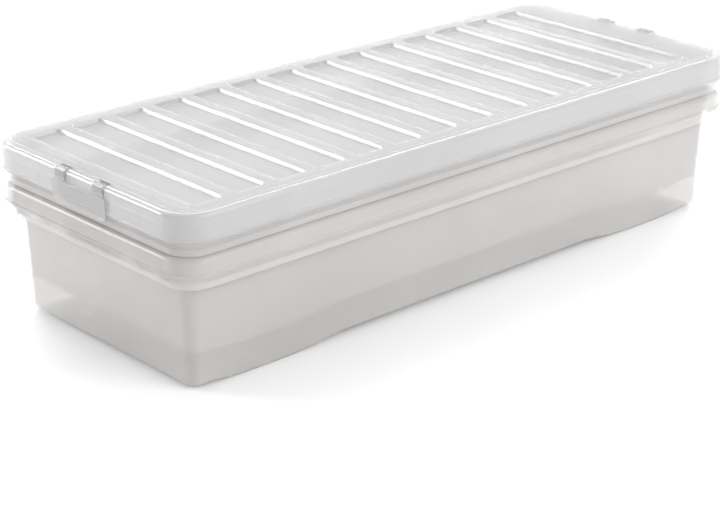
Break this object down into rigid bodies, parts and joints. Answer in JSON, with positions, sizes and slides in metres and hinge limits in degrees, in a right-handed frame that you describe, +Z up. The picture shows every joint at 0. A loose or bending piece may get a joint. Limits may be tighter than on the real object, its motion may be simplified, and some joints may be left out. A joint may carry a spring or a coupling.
{
  "type": "under bed box",
  "caption": "Long low translucent storage tubs, nested one in the other under a ribbed lid with a clip at each short end and arched feet.",
  "frame": {"origin": "on the ground, under the middle of the box", "axes": "+X along the box's length, +Y across it, +Z up through the lid"},
  "size_m": [0.991, 0.397, 0.2328],
  "materials": {
    "tub_plastic": "translucent natural polypropylene, smooth, slightly cloudy",
    "lid_plastic": "translucent natural polypropylene, glossy on the ribs and edges",
    "clip_plastic": "translucent natural polypropylene, smooth"
  },
  "bodies": {
    "outer_tub": {"outer_tub": "tub_plastic"},
    "inner_tub": {"inner_tub": "tub_plastic"},
    "lid": {"lid": "lid_plastic"},
    "clip_left": {"clip_left": "clip_plastic"},
    "clip_right": {"clip_right": "clip_plastic"}
  },
  "joints": [
    {"name": "inner_tub_lift", "type": "slide", "parent": "outer_tub", "child": "inner_tub", "axis": [0, 0, 1], "range_m": [0, 0.14]},
    {"name": "lid_lift", "type": "slide", "parent": "inner_tub", "child": "lid", "axis": [0, 0, 1], "range_m": [0, 0.06]},
    {"name": "clip_left_hinge", "type": "hinge", "parent": "lid", "child": "clip_left", "pos_m": [-0.4873, 0, 0.2284], "axis": [0, 1, 0], "range_deg": [0, 80]},
    {"name": "clip_right_hinge", "type": "hinge", "parent": "lid", "child": "clip_right", "pos_m": [0.4873, 0, 0.2284], "axis": [0, -1, 0], "range_deg": [0, 80]}
  ]
}
